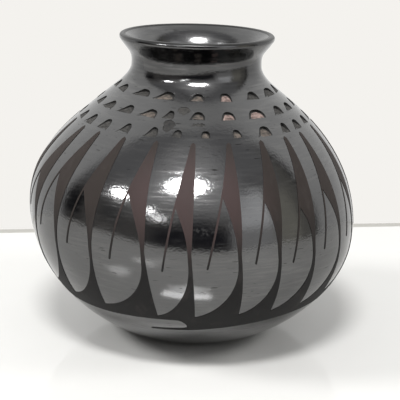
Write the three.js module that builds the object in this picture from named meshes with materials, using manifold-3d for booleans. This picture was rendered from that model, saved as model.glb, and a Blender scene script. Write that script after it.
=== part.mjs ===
import * as THREE from 'three';
import { mergeVertices } from 'three/addons/utils/BufferGeometryUtils.js';
import Module from 'manifold-3d';

// A burnished black pot with three rows of gouges on its shoulder and a matte band of feathers.
// It is raised by hand: a bowl pressed for the base, then six courses of clay coil, then the slip.
// Millimetres, +Z up. The origin is the middle of the foot's flat underside. The front faces -Y.
// Angles round the pot are in degrees from the front, and grow towards +X.

const wasm = await Module();
wasm.setup();

// Outer shape, from the foot up: each station's radius, its rise above the one before, and the
// angle that the wall climbs at there, in degrees.
const FOOT_RADIUS = 32.4;
const FOOT_ANGLE = 18.6;
const BELLY_RADIUS = 85.2;
const BELLY_RISE = 63.3;
const SHOULDER_RADIUS = 66.0;
const SHOULDER_RISE = 44.9;
const SHOULDER_ANGLE = 133.0;
const THROAT_RADIUS = 33.0;
const THROAT_RISE = 32.4;
const RIM_RADIUS = 39.5;
const RIM_RISE = 16.1;
const RIM_ANGLE = 57.0;
const UPRIGHT_ANGLE = 90;

// Fullness of each stretch between two stations: the pull of its two ends, as shares of its span.
const LOWER_FULLNESS = [0.30, 0.39];
const UPPER_FULLNESS = [0.38, 0.36];
const SHOULDER_FULLNESS = [0.50, 0.20];
const NECK_FULLNESS = [0.50, 0.52];

// The wall, and the sideways wander of a form raised by hand.
const WALL = 5.0;
const LIP_THICKNESS = 3.4;
const LEAN_UPPER = -3.3;
const LEAN_RIM = -1.8;
const LEAN_BELOW_BELLY = 33.3;
const LEAN_ABOVE_BELLY = 26.7;
const LEAN_BELOW_THROAT = 12.6;

// Courses: where each joint shows outside, and how much nearer the foot its bevel ends inside.
const BASE_DEPTH = 20.0;
const JOINT_BELOW_BELLY = 16.3;
const JOINT_ABOVE_BELLY = 12.7;
const JOINT_BELOW_SHOULDER = 3.2;
const JOINT_BELOW_THROAT = 3.6;
const JOINT_ABOVE_THROAT = 7.4;
const JOINT_BEVEL = 3.0;

// Gouges: nicks with a flat lower edge, deepest under a rounded upper edge. The front ones were
// placed by eye, and the rest share the way round the back evenly.
const TOP_ROW_BELOW_THROAT = 9.1;
const TOP_ROW_ANGLES = [-69, -42, -24, 0, 21, 43, 61, 79];
const MIDDLE_ROW_BELOW_THROAT = 17.1;
const MIDDLE_ROW_ANGLES = [-78, -62, -46, -28, -14, 2, 19, 37, 55, 69];
const LOW_ROW_BELOW_THROAT = 24.1;
const LOW_ROW_ANGLES = [-77, -64, -49, -35, -21, -7, 6, 21, 36, 50, 62, 75];
const GOUGE_SPACING = 14.0;
const GOUGE_WIDTH = 8.0;
const GOUGE_RISE = 5.5;
const GOUGE_PEAK = 1.2;
const GOUGE_DEPTH = 2.4;

// The band that the feathers stand on. Its lower edge climbs from the start of the brush stroke
// until this angle, and then runs level.
const BAND_HEIGHT = 21.5;
const BAND_CLIMB = 6.5;
const BAND_CLIMB_ANGLE = 80;

// Feathers: stems placed like the gouges, and the slip's outline measured from the middle of a stem.
const FEATHER_COUNT = 23;
const STEM_ANGLES = [-67, -50.5, -34, -15, 0, 16, 30, 44.5, 61];
const TIP_ABOVE_SHOULDER = 4.3;
const TIP_RIGHT = 1.7;
const TIP_LEFT = 0.5;
const SPEAR_BELOW_TIP = 17.5;
const SPEAR_RIGHT = 2.6;
const NOTCH_BELOW_TIP = 23.0;
const QUILL_LENGTH = 52.0;
const QUILL_WIDTH = 0.9;
const QUILL_REACH_SHARE = 0.65;
const FEATHER_ABOVE_BAND = 3.0;
const FEATHER_SWEEP = 9.0;
const STEM_HALF_WIDTH = 0.9;
const STEM_TOP_RISE = 35.0;
const STEM_FOOT_RISE = 26.0;
const STEM_SWEEP = 15.0;
const STEM_FLARE = 2.5;

// The slip coat, and the spare that is trimmed off.
const SLIP_THICKNESS = 0.3;
const SLIP_CLEARANCE = 0.1;
const SPARE_COAT = 1.0;
const CUTTER_REACH = 15.0;

// Facets: sides round the pot, degrees that one facet turns through, and steps on small curves.
const SIDES = FEATHER_COUNT * 2;
const OUTER_FACET_ANGLE = 12;
const INNER_FACET_ANGLE = 20;
const LIP_STEPS = 5;
const GOUGE_STEPS = 2;
const FEATHER_STEPS = 4;

// Heights that follow from the sizes above.
const bellyHeight = BELLY_RISE;
const shoulderHeight = bellyHeight + SHOULDER_RISE;
const throatHeight = shoulderHeight + THROAT_RISE;
const rimHeight = throatHeight + RIM_RISE;
const lowerJoint = BASE_DEPTH;
const bellyJoint = bellyHeight - JOINT_BELOW_BELLY;
const upperJoint = bellyHeight + JOINT_ABOVE_BELLY;
const shoulderJoint = shoulderHeight - JOINT_BELOW_SHOULDER;
const neckJoint = throatHeight - JOINT_BELOW_THROAT;
const rimJoint = throatHeight + JOINT_ABOVE_THROAT;
const tipHeight = shoulderHeight + TIP_ABOVE_SHOULDER;
const spearHeight = tipHeight - SPEAR_BELOW_TIP;
const notchHeight = tipHeight - NOTCH_BELOW_TIP;
const quillHeight = tipHeight - QUILL_LENGTH;
const featherFoot = BAND_HEIGHT + BAND_CLIMB + FEATHER_ABOVE_BAND;
const stemTop = featherFoot + STEM_TOP_RISE;
const stemFoot = featherFoot + STEM_FOOT_RISE;

const black = new THREE.MeshStandardMaterial({ color: 0x2c2c2e, roughness: 0.22, metalness: 0.0 });
const matte = new THREE.MeshStandardMaterial({ color: 0x3a3431, roughness: 0.7, metalness: 0.0 });

const { clamp, degToRad, lerp, radToDeg, smoothstep } = THREE.MathUtils;

// Outer outline, in a plane of radius and height.
function heading(slope) {
  return new THREE.Vector2(Math.cos(degToRad(slope)), Math.sin(degToRad(slope)));
}

function outward(along) {
  return new THREE.Vector2(along.y, -along.x);
}

function stretch(start, startSlope, end, endSlope, [startPull, endPull]) {
  const span = start.distanceTo(end);
  const leave = start.clone().addScaledVector(heading(startSlope), startPull * span);
  const arrive = end.clone().addScaledVector(heading(endSlope), -endPull * span);
  return new THREE.CubicBezierCurve(start, leave, arrive, end);
}

const lipRadius = LIP_THICKNESS / 2;
const lipCentre = new THREE.Vector2(RIM_RADIUS - lipRadius, rimHeight - lipRadius);
const foot = new THREE.Vector2(FOOT_RADIUS, 0);
const belly = new THREE.Vector2(BELLY_RADIUS, bellyHeight);
const shoulder = new THREE.Vector2(SHOULDER_RADIUS, shoulderHeight);
const throat = new THREE.Vector2(THROAT_RADIUS, throatHeight);
const lip = lipCentre.clone().addScaledVector(outward(heading(RIM_ANGLE)), lipRadius);

const outline = new THREE.CurvePath();
outline.add(stretch(foot, FOOT_ANGLE, belly, UPRIGHT_ANGLE, LOWER_FULLNESS));
outline.add(stretch(belly, UPRIGHT_ANGLE, shoulder, SHOULDER_ANGLE, UPPER_FULLNESS));
outline.add(stretch(shoulder, SHOULDER_ANGLE, throat, UPRIGHT_ANGLE, SHOULDER_FULLNESS));
outline.add(stretch(throat, UPRIGHT_ANGLE, lip, RIM_ANGLE, NECK_FULLNESS));
const outlineLength = outline.getLength();

function lengthAt(height) {
  let low = 0;
  let high = outlineLength;
  while (high - low > 1e-6) {
    const middle = (low + high) / 2;
    if (outline.getPoint(middle / outlineLength).y < height) {
      low = middle;
    } else {
      high = middle;
    }
  }
  return low;
}

const throatLength = lengthAt(throatHeight);

function headingAt(length) {
  return outline.getTangent(clamp(length / outlineLength, 0, 1));
}

// A point at a length along the outline, moved out from the surface by a distance.
function surfacePoint(length, out = 0) {
  const point = outline.getPoint(clamp(length / outlineLength, 0, 1));
  return point.addScaledVector(outward(headingAt(length)), out);
}

function wallAt(length) {
  return lerp(WALL, LIP_THICKNESS, smoothstep(length, throatLength, outlineLength));
}

function insidePoint(length) {
  return surfacePoint(length, -wallAt(length));
}

function radiusAt(height) {
  return surfacePoint(lengthAt(height)).x;
}

function leanAt(height) {
  const start = bellyHeight - LEAN_BELOW_BELLY;
  const most = bellyHeight + LEAN_ABOVE_BELLY;
  const end = throatHeight - LEAN_BELOW_THROAT;
  const out = LEAN_UPPER * smoothstep(height, start, most);
  return out + (LEAN_RIM - LEAN_UPPER) * smoothstep(height, most, end);
}

// Lengths along the outline, both ends included, close enough for each facet's turn.
function stations(from, to, turn) {
  const middle = headingAt((from + to) / 2);
  const bend = headingAt(from).angleTo(middle) + headingAt(to).angleTo(middle);
  const steps = Math.max(1, Math.round(radToDeg(bend) / turn));
  return Array.from({ length: steps + 1 }, (_, i) => lerp(from, to, i / steps));
}

// The front places are set by eye, and the others share what is left of the turn evenly.
function placesRound(front, count) {
  const first = front[0] + 360;
  const last = front.at(-1);
  const others = count - front.length;
  const rest = Array.from({ length: others }, (_, i) => lerp(last, first, (i + 1) / (others + 1)));
  return [...front, ...rest];
}

function closed(geometry) {
  geometry.deleteAttribute('normal');
  geometry.deleteAttribute('uv');
  return mergeVertices(geometry, 1e-4);
}

function leaned(geometry) {
  const position = geometry.getAttribute('position');
  for (let i = 0; i < position.count; i += 1) {
    position.setX(i, position.getX(i) + leanAt(position.getZ(i)));
  }
  return closed(geometry);
}

// A ring or bowl turned about the Z axis, with the pot's lean.
function turned(points) {
  const geometry = new THREE.LatheGeometry(points, SIDES);
  geometry.rotateX(Math.PI / 2);
  return leaned(geometry);
}

// Solids for cutting, and the way back to a mesh.
function toSolid(geometry) {
  const vertProperties = new Float32Array(geometry.getAttribute('position').array);
  const triVerts = new Uint32Array(geometry.getIndex().array);
  return new wasm.Manifold(new wasm.Mesh({ numProp: 3, vertProperties, triVerts }));
}

function toGeometry(solid) {
  const mesh = solid.getMesh();
  const geometry = new THREE.BufferGeometry();
  geometry.setAttribute('position', new THREE.BufferAttribute(mesh.vertProperties, 3));
  geometry.setIndex(new THREE.BufferAttribute(mesh.triVerts, 1));
  return geometry;
}

function cut(blank, cutters) {
  return toGeometry(cutters.reduce((solid, cutter) => solid.subtract(toSolid(cutter)), toSolid(blank)));
}

function outerStations(lowHeight, highHeight) {
  return stations(lengthAt(lowHeight), lengthAt(highHeight), OUTER_FACET_ANGLE);
}

// The base: a bowl with a flat foot, and a flat floor inside.
function baseBowl() {
  const outside = outerStations(0, lowerJoint);
  const inside = stations(outside.at(-1) - JOINT_BEVEL, 0, INNER_FACET_ANGLE).map(insidePoint);
  const floor = inside.at(-1).y;
  const wall = outside.map((length) => surfacePoint(length));
  return turned([new THREE.Vector2(0, 0), ...wall, ...inside, new THREE.Vector2(0, floor)]);
}

// One course of coil. Its ends are bevels that match those of the courses below and above.
function coil(lowHeight, highHeight) {
  const outside = outerStations(lowHeight, highHeight);
  const inside = stations(outside.at(-1) - JOINT_BEVEL, outside[0] - JOINT_BEVEL, INNER_FACET_ANGLE);
  const wall = outside.map((length) => surfacePoint(length));
  return turned([...wall, ...inside.map(insidePoint), wall[0].clone()]);
}

// The last course, which ends in a rounded lip.
function rimCoil() {
  const outside = stations(lengthAt(rimJoint), outlineLength, OUTER_FACET_ANGLE);
  const inside = stations(outlineLength, outside[0] - JOINT_BEVEL, INNER_FACET_ANGLE).map(insidePoint);
  const wall = outside.map((length) => surfacePoint(length));
  const over = [];
  for (let i = 1; i < LIP_STEPS; i += 1) {
    const spoke = heading(RIM_ANGLE - UPRIGHT_ANGLE + 180 * i / LIP_STEPS);
    over.push(spoke.multiplyScalar(lipRadius).add(lipCentre));
  }
  return turned([...wall, ...over, ...inside, wall[0].clone()]);
}

// A gouge cutter, set on the wall at an angle and height. Its floor dips from the lower edge.
function gougeCutter(angle, height) {
  const half = GOUGE_WIDTH / 2;
  const nick = new THREE.Shape();
  nick.moveTo(-half, 0);
  nick.lineTo(half, 0);
  nick.quadraticCurveTo(half, GOUGE_RISE, GOUGE_PEAK, GOUGE_RISE);
  nick.quadraticCurveTo(0, GOUGE_RISE, -half, 0);
  const geometry = new THREE.ExtrudeGeometry(nick, {
    depth: GOUGE_DEPTH,
    bevelEnabled: false,
    curveSegments: GOUGE_STEPS,
  });
  const position = geometry.getAttribute('position');
  for (let i = 0; i < position.count; i += 1) {
    if (position.getZ(i) === 0) {
      position.setZ(i, -GOUGE_DEPTH * position.getY(i) / GOUGE_RISE);
    }
  }
  const length = lengthAt(height);
  const place = surfacePoint(length);
  const slope = headingAt(length);
  geometry.translate(0, -GOUGE_RISE / 2, 0);
  geometry.rotateX(Math.atan2(slope.y, -slope.x));
  geometry.translate(0, -place.x, place.y);
  geometry.rotateZ(degToRad(angle));
  geometry.translate(leanAt(height), 0, 0);
  return closed(geometry);
}

function gougeRow(belowThroat, front) {
  const height = throatHeight - belowThroat;
  const count = Math.round(2 * Math.PI * radiusAt(height) / GOUGE_SPACING);
  return placesRound(front, count).map((angle) => gougeCutter(angle, height));
}

function shoulderCoil() {
  const cutters = [
    ...gougeRow(TOP_ROW_BELOW_THROAT, TOP_ROW_ANGLES),
    ...gougeRow(MIDDLE_ROW_BELOW_THROAT, MIDDLE_ROW_ANGLES),
    ...gougeRow(LOW_ROW_BELOW_THROAT, LOW_ROW_ANGLES),
  ];
  return cut(coil(shoulderJoint, neckJoint), cutters);
}

// A cutter that runs straight out from the axis. Its outline holds angles round the pot and heights.
function radialCutter(points) {
  const geometry = new THREE.ExtrudeGeometry(new THREE.Shape(points), { depth: 1, bevelEnabled: false });
  const position = geometry.getAttribute('position');
  for (let i = 0; i < position.count; i += 1) {
    const angle = degToRad(position.getX(i));
    const radius = lerp(THROAT_RADIUS, BELLY_RADIUS + CUTTER_REACH, position.getZ(i));
    position.setXYZ(i, radius * Math.sin(angle), -radius * Math.cos(angle), position.getY(i));
  }
  return leaned(geometry);
}

// A point beside a stem, as an angle round the pot and a height. Right of the stem is positive.
function beside(stem, right, height) {
  return new THREE.Vector2(stem + radToDeg(right / radiusAt(height)), height);
}

// The polished feather left bare between two stems, with the right one's quill reaching into it.
function bareFeather(leftStem, rightStem) {
  const above = tipHeight + SLIP_THICKNESS + SLIP_CLEARANCE;
  const rightEdge = new THREE.SplineCurve([
    beside(leftStem, TIP_RIGHT, above),
    beside(leftStem, SPEAR_RIGHT, spearHeight),
    beside(leftStem, STEM_HALF_WIDTH, stemTop),
    beside(leftStem, STEM_HALF_WIDTH, stemFoot),
    beside(leftStem, STEM_HALF_WIDTH, featherFoot),
  ]);
  const footEdge = new THREE.CubicBezierCurve(
    beside(leftStem, STEM_HALF_WIDTH, featherFoot),
    beside(leftStem, STEM_HALF_WIDTH + FEATHER_SWEEP, featherFoot),
    beside(rightStem, -STEM_FLARE, stemFoot - STEM_SWEEP),
    beside(rightStem, -STEM_HALF_WIDTH, stemFoot),
  );
  const tip = beside(rightStem, -TIP_LEFT, tipHeight);
  const quillEnd = new THREE.Vector2(lerp(rightStem, leftStem, QUILL_REACH_SHARE), quillHeight);
  const quill = tip.clone().lerp(quillEnd, (tipHeight - notchHeight) / (tipHeight - quillHeight));
  const spearEdge = new THREE.QuadraticBezierCurve(
    beside(rightStem, -STEM_HALF_WIDTH, stemTop),
    beside(rightStem, -STEM_HALF_WIDTH, (stemTop + notchHeight) / 2),
    beside(quill.x, QUILL_WIDTH, notchHeight),
  );
  return radialCutter([
    ...rightEdge.getPoints(FEATHER_STEPS + 2),
    ...footEdge.getPoints(FEATHER_STEPS).slice(1),
    ...spearEdge.getPoints(FEATHER_STEPS - 1),
    beside(quillEnd.x, QUILL_WIDTH / 2, quillHeight),
    quillEnd,
    tip,
    beside(rightStem, -TIP_LEFT, above),
  ]);
}

// The band's lower edge, which climbs as it goes round so that its end passes above its start.
function bandEdge(angle) {
  const climb = Math.sin(clamp(angle / BAND_CLIMB_ANGLE, 0, 1) * Math.PI / 2);
  return lerp(BAND_HEIGHT, BAND_HEIGHT + BAND_CLIMB, climb);
}

// A ring that trims the coat below the band. Its top steps down where the turn ends.
function belowBand() {
  const bottom = BAND_HEIGHT - CUTTER_REACH;
  const near = new THREE.Vector2(THROAT_RADIUS, bottom);
  const far = new THREE.Vector2(BELLY_RADIUS + CUTTER_REACH, bottom);
  const top = new THREE.Vector2(0, CUTTER_REACH);
  const section = [near, far, far.clone().add(top), near.clone().add(top), near.clone()];
  const turns = SIDES * 2;
  const geometry = new THREE.LatheGeometry(section, turns);
  geometry.rotateX(Math.PI / 2);
  const position = geometry.getAttribute('position');
  for (let i = 0; i < position.count; i += 1) {
    if (position.getZ(i) > bottom) {
      const turn = Math.floor(i / section.length) % turns;
      position.setZ(i, bandEdge(360 * turn / turns));
    }
  }
  return leaned(geometry);
}

// The matte slip: a coat over the wall, with the wall's facets, cut away where the polish shows.
function featherSlip() {
  const low = lengthAt(BAND_HEIGHT - SPARE_COAT);
  const high = lengthAt(tipHeight);
  const joints = [0, lowerJoint, bellyJoint, upperJoint, shoulderJoint];
  const tops = [...joints.slice(1), neckJoint];
  const wall = new Set(joints.flatMap((joint, i) => outerStations(joint, tops[i])));
  const coat = [low, ...[...wall].filter((length) => length > low && length < high), high];
  const inside = coat.map((length) => surfacePoint(length, SLIP_CLEARANCE));
  const outside = coat.map((length) => surfacePoint(length, SLIP_CLEARANCE + SLIP_THICKNESS));
  const blank = turned([...outside, ...inside.reverse(), outside[0].clone()]);
  const stems = placesRound(STEM_ANGLES, FEATHER_COUNT).map((angle) => (angle + 360) % 360);
  stems.sort((a, b) => a - b);
  const feathers = stems.map((stem, i) => bareFeather(stem, stems[i + 1] ?? stems[0] + 360));
  return cut(blank, [...feathers, belowBand()]);
}

function piece(name, geometry, material) {
  const mesh = new THREE.Mesh(geometry, material);
  mesh.name = name;
  return mesh;
}

const pot = new THREE.Group();
pot.add(
  piece('base_bowl', baseBowl(), black),
  piece('lower_coil', coil(lowerJoint, bellyJoint), black),
  piece('belly_coil', coil(bellyJoint, upperJoint), black),
  piece('upper_coil', coil(upperJoint, shoulderJoint), black),
  piece('shoulder_coil', shoulderCoil(), black),
  piece('neck_coil', coil(neckJoint, rimJoint), black),
  piece('rim_coil', rimCoil(), black),
  piece('feather_slip', featherSlip(), matte),
);

export default pot;
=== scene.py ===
# %% [markdown]
# # A burnished black pot with a feather band
#
# The real pot is raised by hand from a pressed bowl and coils of clay, polished with a smooth stone,
# gouged on the shoulder, painted with matte slip and smoked black in the kiln. This lesson makes the
# same pieces, on the frame of a CAD model and within its sizes.

# %% Load the frame
import math
import random
from bisect import bisect_right
from collections import namedtuple
from itertools import accumulate

import bmesh
import bpy
from mathutils import Matrix, Vector, noise
from mathutils.geometry import interpolate_bezier


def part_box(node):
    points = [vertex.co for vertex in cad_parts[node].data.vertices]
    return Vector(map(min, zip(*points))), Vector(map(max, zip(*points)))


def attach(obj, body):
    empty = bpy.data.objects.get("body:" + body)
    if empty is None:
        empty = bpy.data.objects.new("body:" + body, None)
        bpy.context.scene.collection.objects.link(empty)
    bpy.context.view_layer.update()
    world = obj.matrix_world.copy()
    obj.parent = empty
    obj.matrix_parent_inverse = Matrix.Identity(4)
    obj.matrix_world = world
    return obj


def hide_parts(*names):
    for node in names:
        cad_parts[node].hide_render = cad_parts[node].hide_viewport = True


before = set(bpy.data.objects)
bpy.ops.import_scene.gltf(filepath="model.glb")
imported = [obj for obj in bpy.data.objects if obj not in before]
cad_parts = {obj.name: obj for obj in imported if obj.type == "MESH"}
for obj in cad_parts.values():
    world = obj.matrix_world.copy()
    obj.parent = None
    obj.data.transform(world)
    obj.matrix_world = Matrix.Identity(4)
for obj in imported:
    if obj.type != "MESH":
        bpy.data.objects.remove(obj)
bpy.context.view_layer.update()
MM = 0.001

# %% [markdown]
# ## The outline of the pot
#
# A turned form is ruled by its outline. This one could be traced with many points, but a potter's curve
# is smoother than a hand that clicks, so it has five stations joined by Bezier stretches: the foot, the
# belly, the shoulder, the throat and the lip. Each has a place and the angle at which the wall climbs,
# and each stretch has two shares of its span by which its ends pull on the curve. The shape is drawn in
# millimetres in the XZ plane, and each finished mesh is scaled to metres.

# %% Stations and stretches
FOOT_RADIUS = 32.4
FOOT_ANGLE = 18.6
BELLY_RADIUS = 85.2
BELLY_HEIGHT = 63.3
SHOULDER_RADIUS = 66.0
SHOULDER_HEIGHT = 108.2
SHOULDER_ANGLE = 133.0
THROAT_RADIUS = 33.4
THROAT_HEIGHT = 140.6
RIM_RADIUS = 40.0
RIM_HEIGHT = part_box("rim_coil")[1].z / MM
RIM_ANGLE = 57.0
UPRIGHT_ANGLE = 90.0
LIP_RADIUS = 1.7
FULLNESS = [(0.30, 0.39), (0.38, 0.36), (0.50, 0.20), (0.50, 0.52)]
STRETCH_POINTS = 240


def heading(angle):
    turn = math.radians(angle)
    return Vector((math.cos(turn), 0, math.sin(turn)))


def outward(along):
    return Vector((along.z, 0, -along.x))


lip_centre = Vector((RIM_RADIUS - LIP_RADIUS, 0, RIM_HEIGHT - LIP_RADIUS))
stations = [
    (Vector((FOOT_RADIUS, 0, 0)), FOOT_ANGLE),
    (Vector((BELLY_RADIUS, 0, BELLY_HEIGHT)), UPRIGHT_ANGLE),
    (Vector((SHOULDER_RADIUS, 0, SHOULDER_HEIGHT)), SHOULDER_ANGLE),
    (Vector((THROAT_RADIUS, 0, THROAT_HEIGHT)), UPRIGHT_ANGLE),
    (lip_centre + outward(heading(RIM_ANGLE)) * LIP_RADIUS, RIM_ANGLE),
]
outline = [stations[0][0]]
for (start, leave), (end, arrive), (first_pull, last_pull) in zip(stations, stations[1:], FULLNESS):
    span = (end - start).length
    first_handle = start + heading(leave) * first_pull * span
    last_handle = end - heading(arrive) * last_pull * span
    outline += interpolate_bezier(start, first_handle, last_handle, end, STRETCH_POINTS)[1:]
print("outline points:", len(outline))

# %% Lengths and directions along the outline
steps = [after - before for before, after in zip(outline, outline[1:])]
lengths = [0.0, *accumulate(step.length for step in steps)]
heights = [point.z for point in outline]
headings = [step.normalized() for step in steps]
pairs = zip(headings[:1] + headings, headings + headings[-1:])
slopes = [(before + after).normalized() for before, after in pairs]
FULL_LENGTH = lengths[-1]


def share_of(values, value):
    """The place of a value in a rising list: the entry before it, and the share of the way to the next."""
    i = min(max(bisect_right(values, value), 1), len(values) - 1)
    return i, (value - values[i - 1]) / (values[i] - values[i - 1])


def length_at(height):
    i, share = share_of(heights, height)
    return lengths[i - 1] + share * (lengths[i] - lengths[i - 1])


def slope_at(length):
    i, share = share_of(lengths, length)
    return slopes[i - 1].lerp(slopes[i], share).normalized()


def on_outline(length, out=0.0):
    """A point at a length along the outline, moved out from the wall by a distance."""
    i, share = share_of(lengths, length)
    return outline[i - 1].lerp(outline[i], share) + outward(slope_at(length)) * out


def radius_at(height):
    return on_outline(length_at(height)).x


print("outline length in mm:", round(FULL_LENGTH, 1))

# %% [markdown]
# ## The hand in the form
#
# No hand-raised pot is truly round. This one leans a little to the left between belly and rim, its neck
# is a little oval, and the scraper left low dents that make its reflections swim. It is one rule that
# moves a point of the round form sideways, so pieces that meet stay together when the rule has moved
# them. Perlin noise is used for the dents because it gives the same result on every run. A skin is taken
# off all round, so that the coat of slip stays within the sizes of the CAD model.

# %% A rule that moves points as the hand did
LEAN_MOST = -3.3
LEAN_RIM = -1.5
LEAN_START_HEIGHT = 30.0
LEAN_MOST_HEIGHT = 90.0
LEAN_RIM_HEIGHT = 128.0
NECK_OVAL = 1.4
OVAL_ANGLE = 60.0
OVAL_START_HEIGHT = 114.0
OVAL_MOST_HEIGHTS = (128.0, 133.0)
OVAL_END_HEIGHT = 148.0
DENT_DEPTH = 0.22
DENT_SIZE = 34.0
SKIN = 0.3


def smoothstep(value, low, high):
    share = min(max((value - low) / (high - low), 0.0), 1.0)
    return share * share * (3 - 2 * share)


def lean_at(height):
    out = LEAN_MOST * smoothstep(height, LEAN_START_HEIGHT, LEAN_MOST_HEIGHT)
    return out + (LEAN_RIM - LEAN_MOST) * smoothstep(height, LEAN_MOST_HEIGHT, LEAN_RIM_HEIGHT)


def oval_at(angle, height):
    """How far the neck, which is a little oval, stands out at an angle from the front."""
    first, last = OVAL_MOST_HEIGHTS
    share = smoothstep(height, OVAL_START_HEIGHT, first) * (1 - smoothstep(height, last, OVAL_END_HEIGHT))
    return NECK_OVAL * share * math.cos(2 * (angle - math.radians(OVAL_ANGLE)))


def by_hand(point):
    """Moves a point of the round form in by the skin and the dents, by the oval, and along the lean."""
    radial = Vector((point.x, point.y, 0)).normalized()
    dent = DENT_DEPTH * (noise.noise(point / DENT_SIZE) - 1) / 2
    oval = oval_at(math.atan2(point.x, -point.y), point.z)
    return point + radial * (dent + oval - SKIN) + Vector((lean_at(point.z), 0, 0))


leans = [round(lean_at(height), 2) for height in (BELLY_HEIGHT, SHOULDER_HEIGHT, RIM_HEIGHT)]
print("lean at belly, shoulder and rim in mm:", leans)

# %% [markdown]
# ## Nodes for the finishes
#
# Each finish is a Principled shader with a few texture nodes on Object coordinates, which are metres in
# the pot's own frame. Wiring nodes by hand takes many lines, so one helper adds a node and fills its
# sockets with plain values or links.

# %% Node helpers
MIX_FACTOR = 0
MIX_FIRST = 6
MIX_SECOND = 7
MIX_RESULT = 2


def add(tree, kind, sockets=None, **settings):
    node = tree.nodes.new("ShaderNode" + kind)
    for name, value in settings.items():
        setattr(node, name, value)
    for name, value in (sockets or {}).items():
        if isinstance(value, bpy.types.NodeSocket):
            tree.links.new(value, node.inputs[name])
        else:
            node.inputs[name].default_value = value
    return node


def new_finish(name, sockets):
    material = bpy.data.materials.new(name)
    material.use_nodes = True
    shader = material.node_tree.nodes["Principled BSDF"]
    for socket, value in sockets.items():
        shader.inputs[socket].default_value = value
    return material, material.node_tree, shader


def sum_of(tree, first, second, operation="ADD"):
    return add(tree, "Math", {0: first, 1: second}, operation=operation).outputs["Value"]


def spread(tree, value, low, high, to_low, to_high):
    sockets = {"Value": value, "From Min": low, "From Max": high, "To Min": to_low, "To Max": to_high}
    return add(tree, "MapRange", sockets).outputs["Result"]


def blend_colours(tree, factor, first, second):
    """A mix of two colours, each of them three numbers or the colour of another node."""
    ends = [end if isinstance(end, bpy.types.NodeSocket) else (*end, 1) for end in (first, second)]
    sockets = {MIX_FACTOR: factor, MIX_FIRST: ends[0], MIX_SECOND: ends[1]}
    return add(tree, "Mix", sockets, data_type="RGBA").outputs[MIX_RESULT]


# %% Textures on Object coordinates
def place_of(tree):
    return add(tree, "TexCoord").outputs["Object"]


def object_noise(tree, scale, detail=2.0, roughness=0.5):
    """Noise stretched by a scale for each axis, in waves to the metre."""
    stretched = add(tree, "Mapping", {"Vector": place_of(tree), "Scale": scale}).outputs["Vector"]
    sockets = {"Vector": stretched, "Scale": 1.0, "Detail": detail, "Roughness": roughness}
    return add(tree, "TexNoise", sockets).outputs["Fac"]


def bumped(tree, height, depth):
    return add(tree, "Bump", {"Height": height, "Strength": 1.0, "Distance": depth}).outputs["Normal"]


FULL_SHARE = 0.5


def near_place(tree, centre, reach):
    """One within the full share of a reach from a place, falling to zero where the reach ends."""
    away = add(tree, "VectorMath", {0: place_of(tree), 1: centre}, operation="SUBTRACT").outputs["Vector"]
    scaled = add(tree, "VectorMath", {0: away, 1: reach}, operation="DIVIDE").outputs["Vector"]
    distance = add(tree, "VectorMath", {0: scaled}, operation="LENGTH").outputs["Value"]
    return spread(tree, distance, FULL_SHARE, 1.0, 1.0, 0.0)


# %% [markdown]
# ## Burnished clay
#
# Polishing with a stone lays the clay flat, and the smoke fills it with carbon, so the skin shines like
# graphite: a dark metal that mirrors a tenth of the light. It could be a clear coat over black, but the
# streaks that the stone leaves change the strength of the mirror itself, which a metal's colour does.
# The same colour also carries painted light: a weaker mirror on the neck is painted shade, and a stronger
# one low on the front is a painted reflection of the bright floor. Noise stretched level gives the strokes,
# which come and go in patches, finer noise gives the grain that breaks up the edges of the highlights,
# and a weak, rougher coat gives these their halo.

# %% Burnished clay
GRAPHITE = (0.115, 0.115, 0.116)
RIM_GRAPHITE = (0.098, 0.098, 0.099)
# Painted shade: a weaker mirror on the neck, blended in between these two heights.
NECK_SHADE_GRAPHITE = (0.074, 0.074, 0.075)
NECK_SHADE_HEIGHTS = (0.128, 0.143)
# Painted reflection: a stronger mirror low on the front, where the bright floor shows in the wall.
FLOOR_REFLECTION_GRAPHITE = (0.37, 0.37, 0.376)
FLOOR_REFLECTION_CENTRE = (0.002, -0.062, 0.0155)
FLOOR_REFLECTION_REACH = (0.062, 0.034, 0.0105)
STREAK = (0.155, 0.154, 0.152)
EDGE_TINT = (0.93, 0.93, 0.93, 1)
HALO = {"Coat Weight": 0.14, "Coat Roughness": 0.24}
PIT = (0.045, 0.044, 0.044)
# Waves to the metre along each axis, and then the detail and roughness of some.
STROKE_NOISE = (75, 75, 900), 3.0, 0.6
CLOUD_NOISE = (30, 30, 45), 3.0
GRAIN_NOISE = ((1000, 1000, 1000),)
SCRATCH_NOISE = (150, 150, 1500), 2.0
SPECK_NOISE = ((900, 900, 1100),)
# Where a noise starts to count, and where it counts in full.
PATCH_RANGE = (0.35, 0.65)
STREAK_RANGE = (0.45, 0.75)
SPECK_RANGE = (0.50, 0.62)
PIT_RANGE = (0.68, 0.73)
PATCH_LEAST = 0.15
SPECK_SHARE = 1.3
# The centre of each scuff and its reach along each axis.
SCUFFS = [
    ((0.005, -0.0835, 0.0768), (0.0075, 0.006, 0.0026)),
    ((0.022, -0.0820, 0.0630), (0.0070, 0.006, 0.0020)),
    ((-0.024, -0.0815, 0.0620), (0.0065, 0.006, 0.0020)),
]
STROKE_DEPTH = 0.000007
GRAIN_SHARE = 7.0
POLISHED = (0.10, 0.26)
RIM_POLISHED = (0.17, 0.30)


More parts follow.
